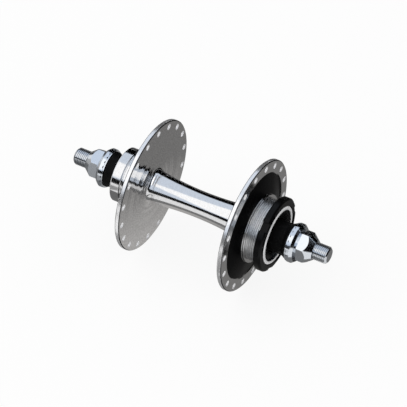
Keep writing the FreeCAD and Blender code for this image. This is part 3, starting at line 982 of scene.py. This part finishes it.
# %% [markdown]
# ## Cards
#
# Polished metal shows only what is round it, and in a white room it looks like nothing at all. So a
# photographer hangs black, grey and white cards round it, and each one draws a band or a line on
# the metal. Here they are flat faces that only reflections see, at exactly the brightness of their
# colour. They cast no shadow and light nothing, so the light on the hub stays plain.


# %% A card that only reflections see
def hang_card(name, hex_value, centre, across, along, strength=1.0, **axes):
    """A card that shows in reflections alone, at the brightness of its colour times strength."""
    paint = bpy.data.materials.new(name + "_paint")
    paint.use_nodes = True
    tree = paint.node_tree
    tree.nodes.remove(tree.nodes["Principled BSDF"])
    glow = add(tree, "ShaderNodeEmission", {"Color": colour(hex_value), "Strength": strength})
    tree.links.new(glow.outputs[0], tree.nodes["Material Output"].inputs["Surface"])
    hung = flat_card(name, centre, across, along, paint, **axes)
    hung.visible_camera = False
    hung.visible_diffuse = False
    hung.visible_shadow = False
    hung.visible_transmission = False
    return hung


# %% Hang the cards
# Places and sizes are in metres.
UPWARD = (0, 0, 1)
# Cards on the table lie a millimetre above one another, so that no two are in one place.
ON_TABLE, ON_SHEET, ON_CARD = (floor_height + layer * MM for layer in (1, 2, 3))

# A black card low behind the hub draws the dark line along the top of the barrel and axle, and one
# in front of it draws the second line, lower down.
hang_card("far_flag", "#050505", (1.0, 0, 0.36), 0.80, 4.0, x_axis=UPWARD)
hang_card("line_flag", "#141414", (-1.0, 0, 0.165), 0.39, 4.0, x_axis=UPWARD)
# Beyond the sprocket's end, dark from the table up and grey above shades the cones and fillets that
# face that way, and a white one above them brightens the barrel's picture in the left flange.
hang_card("end_flag", "#0A0A0A", (-0.1, -1.0, 0.40), 1.9, 0.88, y_axis=UPWARD)
hang_card("ceiling_flag", "#ACACAE", (-0.1, -0.24, 1.1), 1.8, 0.26)
hang_card("back_card", "#FFFFFF", (-0.3, -0.70, 1.1), 1.4, 0.62, strength=1.6)
# Small cards on the table: greys under the left boss and nut, a slanted strip that only the right
# flange's rim picks up, a dark one for the right nut's lower sides, and a white one in front of the
# sprocket's end.
hang_card("left_card", "#747474", (0.05, 0.12, ON_SHEET), 0.22, 0.14)
hang_card("nut_card", "#A4A4A4", (-0.11, 0.12, ON_CARD), 0.14, 0.10)
hang_card("rim_card", "#7C7C7C", (-0.158, 0.007, ON_SHEET), 0.21, 0.028,
          x_axis=(-0.96, 0.278, 0), y_axis=(0.278, 0.96, 0))
hang_card("small_card", "#161616", (0.032, -0.058, ON_SHEET), 0.036, 0.03)
hang_card("table_card", "#F6F6F6", (-0.05, -0.16, ON_SHEET), 0.14, 0.16)

# %% [markdown]
# ### The grey sheet under the hub
#
# The flanges' faces lean towards the camera's side, so they mirror the table behind the hub. A grey
# sheet there gives them their grey, and it isn't even: it darkens from the near left to the far
# right, as the faces do from bottom to top, and turns black far off, where the upper edges look.

# %% Shade the grey sheet
# The first change runs aslant: a step along Y counts for this many along X.
SLANT = -1.5

sheet = hang_card("table_flag", "#828283", (0.32, 0, ON_TABLE), 0.75, 1.6)
tree = sheet.data.materials[0].node_tree
place = add(tree, "ShaderNodeTexCoord").outputs["Object"]
parts = add(tree, "ShaderNodeSeparateXYZ", {0: place})
slant = add(tree, "ShaderNodeMath", {
    0: parts.outputs["Y"], 1: SLANT, 2: parts.outputs["X"],
}, operation="MULTIPLY_ADD")
# Each row changes the shade so far to its own grey, from start to end along a direction, in metres.
shade_so_far = colour("#BCBAB8")
for across, start, end, grey in (
        (slant.outputs[0], -0.045, 0.04, "#807F7E"),
        (parts.outputs["X"], 0.12, 0.15, "#101010"),
        (parts.outputs["X"], -0.024, -0.028, "#808080")):
    share = add(tree, "ShaderNodeMapRange", {0: across, 1: start, 2: end})
    shade_so_far = add(tree, "ShaderNodeMix", {
        "Factor": share.outputs[0], MIX_A: shade_so_far, MIX_B: colour(grey),
    }, data_type="RGBA").outputs[MIX_RESULT]
tree.links.new(shade_so_far, tree.nodes["Emission"].inputs["Color"])
print("sheet:", len(tree.nodes), "nodes")

# %% [markdown]
# ## Light
#
# One wide softbox stands over the hub's left shoulder, and the world fills the shadows. Their sum is
# a plain level, at which a colour renders about as it is written. In a mirror, a lamp's face would
# add to the world behind it and burn out, so the lamp itself is kept out of reflections, and a card
# in its place draws its face. What the mirrors see of the world is slightly blue, as daylight is,
# and the camera sees plain white.


# %% The softbox
KEY_PLACE, KEY_SIZE = (-0.46, 0.56, 0.77), (1.0, 0.95)
# How bright its light is, and how bright the card that draws its face.
KEY_RADIANCE, KEY_FACE = 0.9, 1.33

lamp = bpy.data.lights.new("key_softbox", "AREA")
lamp.shape = "RECTANGLE"
lamp.size, lamp.size_y = KEY_SIZE
lamp.energy = math.pi * KEY_SIZE[0] * KEY_SIZE[1] * KEY_RADIANCE
key = bpy.data.objects.new("key_softbox", lamp)
key.location = KEY_PLACE
key.rotation_mode = "QUATERNION"
key.rotation_quaternion = (-Vector(KEY_PLACE)).to_track_quat("-Z", "Y")
key.visible_glossy = False
bpy.context.scene.collection.objects.link(key)
facing = key.rotation_quaternion.to_matrix()
hang_card("key_face", "#FFFFFF", KEY_PLACE, *KEY_SIZE, strength=KEY_FACE, x_axis=facing.col[0],
          y_axis=facing.col[1])
print("softbox of", round(lamp.energy, 2), "watts")

# %% The world
# How bright it is as light, and how bright the camera and the mirrors see it.
FILL, SEEN = 0.78, 1.0

world = bpy.data.worlds.new("studio")
bpy.context.scene.world = world
world.use_nodes = True
tree = world.node_tree
background = tree.nodes["Background"]
strength = add(tree, "ShaderNodeMapRange", {0: looked_at(tree), 3: FILL, 4: SEEN})
sky = add(tree, "ShaderNodeMix", {
    "Factor": add(tree, "ShaderNodeLightPath").outputs["Is Glossy Ray"],
    MIX_A: colour("#FFFFFF"), MIX_B: colour("#E3EDFB"),
}, data_type="RGBA")
tree.links.new(sky.outputs[MIX_RESULT], background.inputs["Color"])
tree.links.new(strength.outputs[0], background.inputs["Strength"])
bpy.context.scene.view_settings.view_transform = "Standard"
print("world", FILL, "as light,", SEEN, "as seen")
